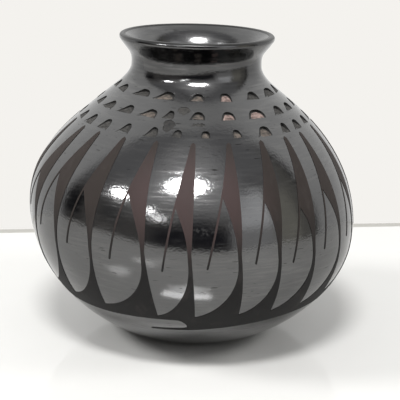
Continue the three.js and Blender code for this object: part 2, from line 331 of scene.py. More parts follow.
def clay_finish(name, colour, neck_shade_colour, polish):
    """Burnished clay whose roughness goes from the first value of a polish to the second in the streaks."""
    material, tree, shader = new_finish(name, {"Metallic": 1.0, "Specular Tint": EDGE_TINT, **HALO})
    strokes = object_noise(tree, *STROKE_NOISE)
    clouds = object_noise(tree, *CLOUD_NOISE)
    grain = object_noise(tree, *GRAIN_NOISE)
    scratches = object_noise(tree, *SCRATCH_NOISE)
    patches = spread(tree, clouds, *PATCH_RANGE, PATCH_LEAST, 1.0)
    streaks = sum_of(tree, patches, spread(tree, strokes, *STREAK_RANGE, 0.0, 1.0), "MULTIPLY")
    specks = spread(tree, object_noise(tree, *SPECK_NOISE), *SPECK_RANGE, 0.0, SPECK_SHARE)
    for centre, reach in SCUFFS:
        scuff = sum_of(tree, near_place(tree, centre, reach), specks, "MULTIPLY")
        streaks = sum_of(tree, streaks, scuff)
    height = add(tree, "SeparateXYZ", {"Vector": place_of(tree)}).outputs["Z"]
    # Painted shade: the mirror colour turns to the neck's weaker one as the height rises.
    height_blended = blend_colours(tree, spread(tree, height, *NECK_SHADE_HEIGHTS, 0.0, 1.0), colour, neck_shade_colour)
    # Painted reflection of the bright floor, as a stronger mirror low on the front.
    bright = near_place(tree, FLOOR_REFLECTION_CENTRE, FLOOR_REFLECTION_REACH)
    skin = blend_colours(tree, streaks, blend_colours(tree, bright, height_blended, FLOOR_REFLECTION_GRAPHITE), STREAK)
    pitted = blend_colours(tree, spread(tree, scratches, *PIT_RANGE, 0.0, 1.0), skin, PIT)
    tree.links.new(pitted, shader.inputs["Base Color"])
    tree.links.new(spread(tree, streaks, 0.0, 1.0, *polish), shader.inputs["Roughness"])
    worked = sum_of(tree, strokes, patches, "MULTIPLY")
    relief = sum_of(tree, worked, sum_of(tree, grain, GRAIN_SHARE, "MULTIPLY"))
    tree.links.new(bumped(tree, relief, STROKE_DEPTH), shader.inputs["Normal"])
    print("finish:", name)
    return material


burnished = clay_finish("burnished_clay", GRAPHITE, NECK_SHADE_GRAPHITE, POLISHED)
rim_inside = clay_finish("rim_inside_clay", RIM_GRAPHITE, RIM_GRAPHITE, RIM_POLISHED)

# %% [markdown]
# ## Matte slip, bare clay and the scraped inside
#
# The gouges cut through the skin into the clay: the smoke hardly reached some floors on the front, which
# are pink or tan, greyed the others, and blackened the steep sides. The inside is scraped, not polished,
# and the lip is worn dull by hands. One helper makes them all from two colours mixed in patches, because
# bare clay is never of one colour. The feathers are painted with a thin clay slip after the polish, so
# they stay matte. The slip is darker on the band and browner above, and a cloud of painted light, from
# the high lamp that falls on the front, makes it lighter and redder there.

# %% Matte finishes
MATTE_SPECULAR = 0.35
MATTE_DETAIL = 4.0
MATTE_UNEVEN = 0.6


def matte_finish(name, first, second, scale, roughness, grain):
    material, tree, shader = new_finish(name, {"Roughness": roughness, "Specular IOR Level": MATTE_SPECULAR})
    patches = object_noise(tree, scale, MATTE_DETAIL, MATTE_UNEVEN)
    colour = blend_colours(tree, spread(tree, patches, *PATCH_RANGE, 0.0, 1.0), first, second)
    tree.links.new(colour, shader.inputs["Base Color"])
    tree.links.new(bumped(tree, patches, grain), shader.inputs["Normal"])
    print("finish:", material.name)
    return material


CLAY_GRAIN = 0.0003
LIP_GRAIN = 0.00002
FINE = (800, 800, 800)
COARSE = (550, 550, 550)
# The two colours of each finish, the scale of its patches, its roughness and the depth of its grain.
MATTE_FINISHES = {
    "pink_clay": ((0.07, 0.05, 0.043), (0.33, 0.24, 0.215), COARSE, 0.85, CLAY_GRAIN),
    "tan_clay": ((0.03, 0.027, 0.024), (0.15, 0.123, 0.103), COARSE, 0.85, CLAY_GRAIN),
    "grey_clay": ((0.012, 0.0115, 0.0105), (0.056, 0.053, 0.049), FINE, 0.8, CLAY_GRAIN),
    "sooty_clay": ((0.010, 0.010, 0.010), (0.035, 0.033, 0.031), FINE, 0.8, CLAY_GRAIN),
    "worn_lip": ((0.006, 0.006, 0.006), (0.014, 0.014, 0.014), FINE, 0.36, LIP_GRAIN),
    "scraped_inside": ((0.010, 0.009, 0.009), (0.03, 0.027, 0.025), FINE, 0.7, CLAY_GRAIN),
}
matte = {name: matte_finish(name, *values) for name, values in MATTE_FINISHES.items()}

# %% Slip, browner above the band, with painted light that makes it redder on the front
SLIP_DARK = (0.018, 0.0175, 0.0175)
SLIP_BROWN = (0.034, 0.028, 0.0255)
# Painted light: the slip's colour where the high lamp falls on the front.
SLIP_PAINTED_LIGHT = (0.060, 0.042, 0.041)
SLIP_PALE = (0.055, 0.047, 0.045)
SLIP_GRAIN = 0.00002
SLIP_FINISH = {"Roughness": 0.6, "Specular IOR Level": 0.08}
BROWN_HEIGHTS = (0.055, 0.085)
LIT_CLOUD_CENTRE = (-0.003, -0.083, 0.090)
LIT_CLOUD_REACH = (0.046, 0.040, 0.030)
BRUSH_NOISE = (160, 160, 60), 4.0, 0.6
THIN_RANGE = (0.55, 0.85)
THIN_MOST = 0.6

slip, tree, shader = new_finish("matte_slip", SLIP_FINISH)
height = add(tree, "SeparateXYZ", {"Vector": place_of(tree)}).outputs["Z"]
browner = spread(tree, height, *BROWN_HEIGHTS, 0.0, 1.0)
# Painted light: a lighter, redder cloud on the front, where the high lamp falls on the slip.
redder = near_place(tree, LIT_CLOUD_CENTRE, LIT_CLOUD_REACH)
brushed = object_noise(tree, *BRUSH_NOISE)
height_blended = blend_colours(tree, browner, SLIP_DARK, SLIP_BROWN)
coat_colour = blend_colours(tree, redder, height_blended, SLIP_PAINTED_LIGHT)
thin_places = spread(tree, brushed, *THIN_RANGE, 0.0, THIN_MOST)
tree.links.new(blend_colours(tree, thin_places, coat_colour, SLIP_PALE), shader.inputs["Base Color"])
tree.links.new(bumped(tree, brushed, SLIP_GRAIN), shader.inputs["Normal"])
print("finish:", slip.name)

# %% [markdown]
# ## Turning a course
#
# A course of coil is a ring, so its section is drawn once as a closed loop of edges and spun round the
# Z axis. A stretched cylinder would do, but a spin keeps the wall's true section and its sloping joints.
# Rows are close together because a mirror-like wall shows every facet. A narrow row at each end of a
# course keeps its shading level with the next course.

# %% Sections of the wall
WALL = 5.0
LIP_THICKNESS = 3.4
JOINT_BEVEL = 3.0
ROW = 0.8
INSIDE_ROW = 2.0
SEAM_ROW = 0.05
THINNING = 7.6


def wall_at(length):
    """The wall is even up to the flare of the rim, and from there thins more and more to the lip."""
    share = max(length - FULL_LENGTH + THINNING, 0) / THINNING
    return WALL + (LIP_THICKNESS - WALL) * share ** 2


def rows(low, high, step):
    count = max(2, round((high - low) / step))
    middle = [low + (high - low) * i / count for i in range(1, count)]
    return [low, low + SEAM_ROW, *middle, high - SEAM_ROW, high]


def outside(low, high):
    return [on_outline(length) for length in rows(low, high, ROW)]


def inside(low, high):
    """The inner wall, from its top to its bottom."""
    return [on_outline(length, -wall_at(length)) for length in rows(low, high, INSIDE_ROW)[::-1]]


def course(low, high):
    section = outside(low, high) + inside(low - JOINT_BEVEL, high - JOINT_BEVEL)
    return section + section[:1]


print("wall in mm at foot and lip:", wall_at(0), wall_at(FULL_LENGTH))

# %% Spinning a section
SPIN_STEPS = 288
MERGE = 1e-4
AXIS = (0, 0, 1)


def turned(section):
    shape = bmesh.new()
    points = [shape.verts.new(point) for point in section]
    line = [shape.edges.new(pair) for pair in zip(points, points[1:])]
    bmesh.ops.spin(
        shape, geom=points + line, axis=AXIS, angle=math.tau, steps=SPIN_STEPS, use_merge=True
    )
    bmesh.ops.remove_doubles(shape, verts=shape.verts, dist=MERGE)
    bmesh.ops.recalc_face_normals(shape, faces=shape.faces)
    return shape


print("steps round a course:", SPIN_STEPS)

# %% From a bmesh to a finished piece
SHARP_ANGLE = math.radians(32)


def to_piece(name, shape, finishes):
    """Scales a shape to metres and makes it an object, smooth but for its sharp edges."""
    bmesh.ops.scale(shape, vec=(MM, MM, MM), verts=shape.verts)
    for face in shape.faces:
        face.smooth = True
    mesh = bpy.data.meshes.new(name)
    shape.to_mesh(mesh)
    shape.free()
    mesh.set_sharp_from_angle(angle=SHARP_ANGLE)
    for finish in finishes:
        mesh.materials.append(finish)
    piece = bpy.data.objects.new(name, mesh)
    bpy.context.scene.collection.objects.link(piece)
    print(name, "faces:", len(mesh.polygons))
    return piece


def belongs(piece, node):
    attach(piece, "root")
    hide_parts(node)


# %% [markdown]
# ## The courses of the wall
#
# The courses meet where the CAD model's do, so their joint heights are read from the frame. The wall is
# polished outside, and inside the rim as far as a thumb reaches. The lip gets the worn finish, and the
# faces that look at the axis below the throat get the scraped one.

# %% Joints read from the frame
def top_of(node):
    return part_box(node)[1].z / MM


lower_joint = length_at(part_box("lower_coil")[0].z / MM)
belly_joint = length_at(top_of("lower_coil"))
upper_joint = length_at(top_of("belly_coil"))
shoulder_joint = length_at(top_of("upper_coil"))
neck_joint = length_at(top_of("shoulder_coil"))
rim_joint = length_at(top_of("neck_coil"))
print("top of the rim's joint in mm:", round(top_of("neck_coil"), 1))

# %% Clay pieces and their finishes
WORN_DEPTH = 1.1
SCRAPED, RIM_INSIDE, LIP = 1, 2, 3


def clay_piece(name, section):
    shape = turned(section)
    for face in shape.faces:
        centre = face.calc_center_median()
        looks_in = face.normal.x * centre.x + face.normal.y * centre.y < 0
        if centre.z > RIM_HEIGHT - WORN_DEPTH:
            face.material_index = LIP
        elif looks_in:
            face.material_index = SCRAPED if centre.z < THROAT_HEIGHT else RIM_INSIDE
    for vert in shape.verts:
        vert.co = by_hand(vert.co)
    return to_piece(name, shape, [burnished, matte["scraped_inside"], rim_inside, matte["worn_lip"]])


# %% Base bowl, from the middle of its foot to the middle of its floor
FOOT_EDGE = 0.8

under = [Vector((0, 0, 0)), Vector((FOOT_RADIUS - FOOT_EDGE, 0, 0))]
base_inside = inside(0, lower_joint - JOINT_BEVEL)
floor_middle = Vector((0, 0, base_inside[-1].z))
base = clay_piece("base_bowl_clay", under + outside(0, lower_joint) + base_inside + [floor_middle])
belongs(base, "base_bowl")

# %% Plain courses
plain_courses = {
    "lower_coil": (lower_joint, belly_joint),
    "belly_coil": (belly_joint, upper_joint),
    "upper_coil": (upper_joint, shoulder_joint),
    "neck_coil": (neck_joint, rim_joint),
}
for node, (low, high) in plain_courses.items():
    belongs(clay_piece(node + "_clay", course(low, high)), node)

# %% Rim with its rounded lip
LIP_STEPS = 16
HALF_TURN = 180

over = []
for i in range(1, LIP_STEPS):
    angle = RIM_ANGLE - UPRIGHT_ANGLE + HALF_TURN * i / LIP_STEPS
    over.append(lip_centre + heading(angle) * LIP_RADIUS)
rim_section = outside(rim_joint, FULL_LENGTH) + over + inside(rim_joint - JOINT_BEVEL, FULL_LENGTH)
rim = clay_piece("rim_coil_clay", rim_section + rim_section[:1])
belongs(rim, "rim_coil")

# %% [markdown]
# ## The gouged shoulder
#
# Three rows of nicks are pushed into the shoulder with a tool whose edge is flat below and round above.
# Each one starts nearly flush at its lower edge and dips towards the top right, where it ends in a steep
# wall. Most are drawn out to a point on the left, and a few on the front are upright like small doors.
# The tool leaves a groove along the edge and a torn flap of clay inside it, and three chips show where
# the skin has flaked. The wall could be dented point by point, but a Boolean cut leaves crisp edges in
# the polish and puts the cutter's own finish on the cut faces. The front nicks have the places and widths
# of the real ones.

# %% Places of the gouges
SOOT, GREY, TAN, PINK = range(4)
# Each front gouge has an angle, a width, a share by which it is drawn out, and the finish of its floor.
TOP_ROW = [
    (-68, 9.5, 0.6, GREY),
    (-45, 13.5, 1.0, GREY),
    (-24, 13.0, 1.0, TAN),
    (0.5, 8.4, 0.8, TAN),
    (21.5, 6.5, 0.2, PINK),
    (42.5, 8.0, 0.6, GREY),
    (62, 11.0, 0.5, GREY),
    (79, 8.0, 0.6, GREY),
]
MIDDLE_ROW = [
    (-78, 8.0, 0.8, GREY),
    (-62.5, 11.5, 1.0, GREY),
    (-45.5, 11.5, 1.0, GREY),
    (-28.5, 11.5, 1.0, TAN),
    (-15, 6.0, 0.7, GREY),
    (1.5, 7.8, 0.5, TAN),
    (19, 7.5, 0.4, PINK),
    (37, 10.5, 0.3, PINK),
    (55, 8.0, 0.6, GREY),
    (69, 9.0, 0.6, GREY),
]
LOW_ROW = [
    (-77, 8.0, 0.8, GREY),
    (-64, 9.8, 0.9, GREY),
    (-49, 7.5, 0.4, GREY),
    (-35.5, 7.5, 0.8, GREY),
    (-20.5, 7.2, 0.8, GREY),
    (-7.5, 4.6, 0.0, GREY),
    (6, 4.4, 0.0, TAN),
    (21.2, 4.6, 0.1, TAN),
    (36, 9.0, 0.6, TAN),
    (50.5, 6.2, 0.5, GREY),
    (62, 7.5, 0.5, GREY),
    (75, 8.0, 0.5, GREY),
]
GOUGE_SPACING = 14.0
BACK_WIDTHS = (6.5, 11)
BACK_DRAWN = (0.4, 1.0)
FULL_TURN = 360
SEED = 11
chance = random.Random(SEED)


def places_round(front, count):
    """The front places, and the others that share what is left of the turn evenly."""
    gap = (front[0] + FULL_TURN - front[-1]) / (count - len(front) + 1)
    return [*front, *(front[-1] + gap * i for i in range(1, count - len(front) + 1))]


def gouge_row(below_throat, rise, front):
    """A row of gouges round the shoulder, each as a height, a rise and the four values of a front one."""
    height = THROAT_HEIGHT - below_throat
    count = round(math.tau * radius_at(height) / GOUGE_SPACING)
    row = [(height, rise, *gouge) for gouge in front]
    for angle in places_round([gouge[0] for gouge in front], count)[len(front):]:
        row.append((height, rise, angle, chance.uniform(*BACK_WIDTHS), chance.uniform(*BACK_DRAWN), GREY))
    return row


# How far each row lies below the throat, the rise of its gouges, and its front.
GOUGE_ROWS = [
    (9.9, 4.9, TOP_ROW),
    (17.1, 5.5, MIDDLE_ROW),
    (24.1, 6.2, LOW_ROW),
]
gouges = [gouge for row in GOUGE_ROWS for gouge in gouge_row(*row)]
print("gouges:", len(gouges))

# %% The outline of one gouge
SIDE_POINTS = 8
UNEVEN = 0.10
# Shares of the width and the rise. Each pair is for an upright gouge and for one that is drawn out.
PEAK_SHIFT = 0.12
SIDE_UP = 0.7
RIGHT_ACROSS = (0.36, 0.40)
LEFT_ACROSS = (-0.36, -0.02)
TAIL_ACROSS = (-0.5, -0.1)
TAIL_UP = (0.7, 0.25)


def between(low, high, share):
    return low + (high - low) * share


def nick(width, rise, drawn):
    """A flat bottom, a round right side and a left side that is upright or drawn out to a point."""
    half = width / 2
    corner = Vector((half, 0, 0))
    tail = Vector((-half, 0, 0))
    peak = Vector((PEAK_SHIFT * width * drawn, rise, 0))
    right_handles = (
        Vector((half, SIDE_UP * rise, 0)),
        Vector((between(*RIGHT_ACROSS, drawn) * width, rise, 0)),
    )
    left_handles = (
        Vector((between(*LEFT_ACROSS, drawn) * width, rise, 0)),
        Vector((between(*TAIL_ACROSS, drawn) * width, between(*TAIL_UP, drawn) * rise, 0)),
    )
    right = interpolate_bezier(corner, *right_handles, peak, SIDE_POINTS)
    left = interpolate_bezier(peak, *left_handles, tail, SIDE_POINTS)
    return right + left[1:]


def ragged(point, much):
    return point + Vector((chance.uniform(-much, much), chance.uniform(-much, much), 0))


print("points of a gouge's outline:", 2 * SIDE_POINTS - 1)

# %% From an outline to a cutter on the wall
CUT_CLEAR = 2.0
TILT = (-8, 3)
QUARTER_TURN = 90


def extruded(shape, faces):
    """Extrudes faces in place, and returns the new faces and their points."""
    grown = bmesh.ops.extrude_face_region(shape, geom=faces)["geom"]
    new_faces = [item for item in grown if isinstance(item, bmesh.types.BMFace)]
    return new_faces, [item for item in grown if isinstance(item, bmesh.types.BMVert)]


def cutter_top(shape, points):
    """The top of a cutter, which stands clear of the wall."""
    clear = Vector((0, 0, CUT_CLEAR))
    return shape.faces.new([shape.verts.new(ragged(point, UNEVEN) + clear) for point in points])


def set_on_wall(points, angle, height, rise):
    """Turns points that lie flat at the origin on to the wall, at an angle and height."""
    length = length_at(height)
    turn = Matrix.Rotation(math.radians(angle - QUARTER_TURN), 4, "Z")
    up = slope_at(length)
    across = Vector((0, 1, 0))
    wall_axes = Matrix((across, up, outward(up))).transposed().to_4x4()
    tilt = Matrix.Rotation(math.radians(chance.uniform(*TILT)), 4, "Z")
    middle = Matrix.Translation((0, -rise / 2, 0))
    place = turn @ Matrix.Translation(on_outline(length)) @ wall_axes @ tilt @ middle
    for point in points:
        point.co = by_hand(place @ point.co)


# %% A gouge, with a groove along its edge and a torn flap of clay inside
GOUGE_DEPTH = 1.9
GOUGE_STEP = 0.15
SHALLOW_SHARE = 0.35
RISE_RANGE = (0.9, 1.1)
DEPTH_RANGE = (0.75, 1.15)
FLAP_FOOT_ACROSS = 0.08
FLAP_FOOT_UP = 0.1
FLAP_SHARE = 0.76
FLAP_DEPTH = 0.6
FLAP_TORN = 0.22


def gouge_cutter(height, rise, angle, width, drawn, floor_finish):
    shape = bmesh.new()
    rise = min(rise, width) * chance.uniform(*RISE_RANGE)
    depth = GOUGE_DEPTH * chance.uniform(*DEPTH_RANGE)
    top = cutter_top(shape, nick(width, rise, drawn))
    groove, groove_points = extruded(shape, [top])
    for point in groove_points:
        across = between(SHALLOW_SHARE, 1, point.co.x / width + 0.5)
        point.co.z = -GOUGE_STEP - depth * across * max(point.co.y, 0) / rise
    flap, flap_points = extruded(shape, groove)
    bmesh.ops.delete(shape, geom=groove, context="FACES_ONLY")
    foot = Vector((FLAP_FOOT_ACROSS * width, FLAP_FOOT_UP * rise, 0))
    for point in flap_points:
        inner = foot.lerp(point.co, FLAP_SHARE)
        torn = chance.uniform(-FLAP_TORN, FLAP_TORN)
        point.co = Vector((inner.x, inner.y, point.co.z * FLAP_DEPTH + torn))
    for face in flap:
        face.material_index = floor_finish
    set_on_wall(shape.verts, angle, height, rise)
    bmesh.ops.triangulate(shape, faces=flap + [top])
    return shape


# %% A chip, where the skin has flaked
# Each chip has a height, an angle, a width, a rise and the finish of its floor.
CHIPS = [
    (119.3, -12.9, 5.8, 7.0, SOOT),
    (125.2, -6.2, 6.2, 4.6, GREY),
    (120.1, 2.6, 6.5, 1.8, GREY),
]
CHIP_POINTS = 18
CHIP_RAGGED = 0.5
CHIP_DEPTH = 0.3
CHIP_ROUGH = 0.15


def chip_cutter(height, angle, width, rise, floor_finish):
    shape = bmesh.new()
    points = []
    for i in range(CHIP_POINTS):
        turn = math.tau * i / CHIP_POINTS
        on_edge = Vector((math.cos(turn) * width, (math.sin(turn) + 1) * rise, 0)) / 2
        points.append(ragged(on_edge, CHIP_RAGGED))
    top = cutter_top(shape, points)
    flake, flake_points = extruded(shape, [top])
    for point in flake_points:
        point.co.z = -CHIP_DEPTH + chance.uniform(-CHIP_ROUGH, CHIP_ROUGH)
    for face in flake:
        face.material_index = floor_finish
    set_on_wall(shape.verts, angle, height, rise)
    bmesh.ops.triangulate(shape, faces=flake + [top])
    return shape


# %% Cutting the shoulder
def join(shapes):
    """Puts closed shapes into one, with the faces of each turned outward."""
    joined = bmesh.new()
    loose = bpy.data.meshes.new("loose")
    for shape in shapes:
        bmesh.ops.recalc_face_normals(shape, faces=shape.faces)
        if shape.calc_volume(signed=True) < 0:
            bmesh.ops.reverse_faces(shape, faces=shape.faces)
        shape.to_mesh(loose)
        shape.free()
        joined.from_mesh(loose)
    bpy.data.meshes.remove(loose)
    return joined


cutters = [gouge_cutter(*gouge) for gouge in gouges] + [chip_cutter(*chip) for chip in CHIPS]
cut_finishes = [matte[name] for name in ("sooty_clay", "grey_clay", "tan_clay", "pink_clay")]
cutter = to_piece("shoulder_cutter", join(cutters), cut_finishes)
shoulder = clay_piece("shoulder_coil_clay", course(shoulder_joint, neck_joint))
cut = shoulder.modifiers.new("gouges", "BOOLEAN")
cut.object = cutter
cut.operation = "DIFFERENCE"
cut.solver = "EXACT"
cut.material_mode = "TRANSFER"
depsgraph = bpy.context.evaluated_depsgraph_get()
gouged = bpy.data.meshes.new_from_object(shoulder.evaluated_get(depsgraph))
shoulder.modifiers.clear()
shoulder.data = gouged
gouged.set_sharp_from_angle(angle=SHARP_ANGLE)
bpy.data.objects.remove(cutter)
belongs(shoulder, "shoulder_coil")
print("shoulder finishes:", [m.name for m in gouged.materials], "faces:", len(gouged.polygons))

# %% [markdown]
# ## The feather slip
#
# The painter leaves polished feathers bare between matte strokes. Each stroke is a spear with a tip at
# the shoulder, a stem down to the band, and a thin quill that falls away to the left. It is drawn as a
# flat outline whose X is the angle round the pot and whose Y is the height, filled, cut into small
# faces that can bend, thickened and wrapped on the wall. A painted texture would be simpler, but the
# edge of the slip is a real step on the pot, and a mesh keeps it sharp at any distance.

# %% Sizes of the feathers
FEATHER_COUNT = 23
TIP_HEIGHT = 112.5
TIP_HALF = 1.1
TIP_ROUND = 0.8
SPEAR_LOW = 78.0
SPEAR_LOW_HALF = 2.2
SPEAR_HIGH = 96.0
SPEAR_HIGH_HALF = 2.9
STEM_HALF = 0.9
STEM_TOP = 66.0
STEM_FOOT = 60.0
QUILL_WIDTH = 0.95
QUILL_REACH = 0.65
FEATHER_FOOT = 32.0
# How the unseen feathers differ from each other.
TIP_SPREAD = (-1.0, 2.0)
QUILL_SPREAD = (-0.8, 0.8)
FOOT_SPREAD = (-1.0, 1.0)
BEND_SPREAD = (0.0, 1.0)
QUILL_HEIGHTS = (58, 63)
NOTCH_HEIGHTS = (87, 93)

# Angles of the stem, the tip and the quill's end, the quill's bend, and the angle of the stem's foot.
# Then the heights of the quill's end, of the notch beside the quill and of the stem's foot.
Feather = namedtuple("Feather", "stem tip quill bend foot quill_height notch foot_height")
FRONT_FEATHERS = [
    Feather(-67.0, -62.5, -77.0, 1.5, -69.0, 70.0, 91.0, 33.0),
    Feather(-50.5, -48.3, -62.0, 1.5, -51.8, 65.5, 94.5, 32.5),
    Feather(-34.0, -32.2, -44.9, 1.0, -34.6, 62.8, 92.5, 32.3),
    Feather(-15.0, -16.1, -27.0, 0.6, -13.1, 60.2, 93.0, 30.6),
    Feather(0.0, 0.4, -9.3, 0.1, 0.8, 57.3, 87.0, 31.2),
    Feather(16.0, 16.1, 5.1, 0.0, 17.0, 59.0, 91.5, 32.1),
    Feather(30.0, 32.1, 20.9, 0.4, 30.0, 60.5, 89.5, 32.0),
    Feather(44.6, 46.8, 34.9, 0.2, 44.7, 58.5, 86.0, 31.4),
    Feather(60.6, 59.9, 49.8, 0.5, 60.0, 61.0, 89.5, 32.4),
]

feathers = list(FRONT_FEATHERS)
stems = places_round([feather.stem for feather in FRONT_FEATHERS], FEATHER_COUNT)
for before, stem in zip(stems[len(FRONT_FEATHERS) - 1:], stems[len(FRONT_FEATHERS):]):
    tip = stem + chance.uniform(*TIP_SPREAD)
    quill = stem - QUILL_REACH * (stem - before) + chance.uniform(*QUILL_SPREAD)
    foot = stem + chance.uniform(*FOOT_SPREAD)
    bend = chance.uniform(*BEND_SPREAD)
    quill_height = chance.uniform(*QUILL_HEIGHTS)
    notch = chance.uniform(*NOTCH_HEIGHTS)
    feathers.append(Feather(stem, tip, quill, bend, foot, quill_height, notch, FEATHER_FOOT))
print("feathers:", len(feathers))

# %% The band below the feathers
BAND_START = 21.4
BAND_END = 27.0
BAND_CLIMB_ANGLE = 65
BAND_LIFT = 1.6
LIFT_ANGLE = -45
MEETING_ANGLE = -6
END_POINTS = 10
BAND_STEP = 2.0


def band_edge(angle):
    """The band's lower edge, which climbs as the brush goes round, so that its end passes its start."""
    if angle < 0:
        return BAND_END + BAND_LIFT * smoothstep(angle, LIFT_ANGLE, MEETING_ANGLE)
    climb = math.sin(min(angle / BAND_CLIMB_ANGLE, 1) * math.pi / 2)
    return between(BAND_START, BAND_END, climb)


def flat(angle, height, right=0.0):
    """A point of the flat drawing, moved right by a distance on the wall."""
    return Vector((angle + math.degrees(right / radius_at(height)), height, 0))


def band_line(left, right):
    count = max(2, round((right - left) / BAND_STEP))
    angles = [left + (right - left) * i / count for i in range(count + 1)]
    return [flat(angle, band_edge(angle)) for angle in angles]


# Angles and heights where the stroke's end is rounded, and its start shows below it as a thin tail.
band_meeting = [
    *interpolate_bezier(flat(-6, 28.6), flat(-4.2, 28.4), flat(-2.0, 25.8), flat(-2.2, 24.0), END_POINTS),
    flat(-2.6, 23.1),
    flat(-4.0, 22.7),
    flat(-10, 22.0),
    flat(-17.2, 21.2),
    flat(-18.0, 20.7),
    flat(-17.2, 20.4),
    flat(-10, 20.8),
]
print("points where the band meets itself:", len(band_meeting))

# %% One stroke as a flat outline
SWEEP_DOWN = 13.5
SWEEP_RIGHT = 0.58
SWEEP_UP = 2.6
NOTCH_ROUND = 2.2
NOTCH_DROP = 6.0
INNER_RISE = 10.0
EDGE_POINTS = 16


def tip_and_quill(feather):
    """From the tip's top, down the left edge to the quill's end, and up again to the notch."""
    left = flat(feather.tip, TIP_HEIGHT, -TIP_HALF)
    end = flat(feather.quill, feather.quill_height)
    bend = Vector((-feather.bend * 4 / 3, 0, 0))
    handles = [left.lerp(end, share) + bend for share in (1 / 3, 2 / 3)]
    edge = interpolate_bezier(left, *handles, end, EDGE_POINTS)
    below = [point for point in edge if point.y <= feather.notch]
    inner = [flat(point.x, point.y, QUILL_WIDTH) for point in reversed(below)]
    point_end = flat(feather.quill, feather.quill_height - QUILL_WIDTH / 2, QUILL_WIDTH / 2)
    return [flat(feather.tip, TIP_HEIGHT + TIP_ROUND), *edge, point_end, *inner]


def stroke(before, feather):
    """The outline of one stroke, from the foot of the stem before it, anticlockwise."""
    left = flat(before.foot, before.foot_height)
    right = flat(feather.foot, feather.foot_height)
    if before.foot < 0 <= feather.foot:
        below = band_line(left.x, MEETING_ANGLE)[:-1] + band_meeting + [flat(right.x, BAND_START)]
    else:
        below = band_line(left.x, right.x)
    stem, tip = feather.stem, feather.tip
    right_edge = interpolate_bezier(
        flat(stem, STEM_TOP, STEM_HALF),
        flat(stem, SPEAR_LOW, SPEAR_LOW_HALF),
        flat(tip, SPEAR_HIGH, SPEAR_HIGH_HALF),
        flat(tip, TIP_HEIGHT, TIP_HALF),
        EDGE_POINTS,
    )
    left_edge = tip_and_quill(feather)
    inner_edge = interpolate_bezier(
        left_edge[-1],
        flat(left_edge[-1].x, feather.notch - NOTCH_DROP, NOTCH_ROUND),
        flat(stem, STEM_TOP + INNER_RISE, -STEM_HALF),
        flat(stem, STEM_TOP, -STEM_HALF),
        EDGE_POINTS,
    )
    stem_left = flat(stem, STEM_FOOT, -STEM_HALF)
    sweep = interpolate_bezier(
        stem_left,
        flat(stem, STEM_FOOT - SWEEP_DOWN, -STEM_HALF),
        flat(between(left.x, stem_left.x, SWEEP_RIGHT), before.foot_height + SWEEP_UP),
        left,
        EDGE_POINTS,
    )
    return [*below, right, *right_edge, *left_edge, *inner_edge[1:], *sweep]


# %% Filling and cutting the strokes
COLUMN_STEP = 2.0
ROW_STEP = 2.0
CUT_MERGE = 1e-5
STROKE_MERGE = 1e-3


def cut_flat(shape, normal, low, high, step):
    """Cuts a flat shape into strips along a direction."""
    first = math.ceil(low / step)
    last = math.floor(high / step)
    for i in range(first, last + 1):
        everything = [*shape.verts, *shape.edges, *shape.faces]
        place = normal * (i * step)
        bmesh.ops.bisect_plane(shape, geom=everything, dist=CUT_MERGE, plane_co=place, plane_no=normal)


def filled(points):
    shape = bmesh.new()
    corners = [shape.verts.new(point) for point in points]
    edges = [shape.edges.new(pair) for pair in zip(corners, corners[1:] + corners[:1])]
    bmesh.ops.triangle_fill(shape, use_beauty=True, edges=edges)
    xs = [point.x for point in points]
    ys = [point.y for point in points]
    cut_flat(shape, Vector((1, 0, 0)), min(xs), max(xs), COLUMN_STEP)
    cut_flat(shape, Vector((0, 1, 0)), min(ys), max(ys), ROW_STEP)
    return shape


coat = bmesh.new()
flat_mesh = bpy.data.meshes.new("flat_stroke")
order = sorted(feathers)
last = order[-1]
befores = [last._replace(stem=last.stem - FULL_TURN, foot=last.foot - FULL_TURN), *order[:-1]]
for before, feather in zip(befores, order):
    shape = filled(stroke(before, feather))
    shape.to_mesh(flat_mesh)
    shape.free()
    coat.from_mesh(flat_mesh)
bpy.data.meshes.remove(flat_mesh)
bmesh.ops.remove_doubles(coat, verts=coat.verts, dist=STROKE_MERGE)
print("flat slip faces:", len(coat.faces))

# %% Thickening and wrapping the coat
SLIP_LIFT = 0.03
SLIP_THICKNESS = 0.14


def wrapped(point):
    """A point of the flat drawing, whose X is an angle, Y a height and Z a distance out from the wall."""
    turn = Matrix.Rotation(math.radians(point.x - QUARTER_TURN), 3, "Z")
    on_wall = on_outline(length_at(point.y))
    out = outward(slope_at(length_at(point.y)))
    return by_hand(turn @ on_wall) + turn @ out * point.z


for vert in coat.verts:
    vert.co.z = SLIP_LIFT
raised_points = extruded(coat, list(coat.faces))[1]
for point in raised_points:
    point.co.z = SLIP_LIFT + SLIP_THICKNESS
for vert in coat.verts:
    vert.co = wrapped(vert.co)
bmesh.ops.remove_doubles(coat, verts=coat.verts, dist=STROKE_MERGE)
bmesh.ops.recalc_face_normals(coat, faces=coat.faces)
slip_coat = to_piece("feather_slip_coat", coat, [slip])
belongs(slip_coat, "feather_slip")

# %% [markdown]
# ## The floor
#
# The pot stands on a pale slab with a weak polish. The slab ends in front of the pot, and behind it on a
# slant, with a shaded strip along the edge. A thick slab would show no more than two flat faces do,
# because the finish does the rest: a matte colour with faint veins, and a coat that mirrors the foot.

# %% Floor
FLOOR_FRONT = -0.45
FLOOR_BACK = 0.1753
FLOOR_SLANT = 0.1418
FLOOR_SIDE = 0.65
GAP = 0.008
FLOOR_FINISH = {"Roughness": 1.0, "Specular IOR Level": 0.0, "Coat Weight": 0.45, "Coat Roughness": 0.04}
GAP_FINISH = {"Base Color": (0.42, 0.41, 0.38, 1), "Roughness": 1.0}
VEIN_NOISE = (5, 5, 5), 6.0, 0.65
VEIN_COLOURS = (0.685, 0.68, 0.66), (0.745, 0.74, 0.72)

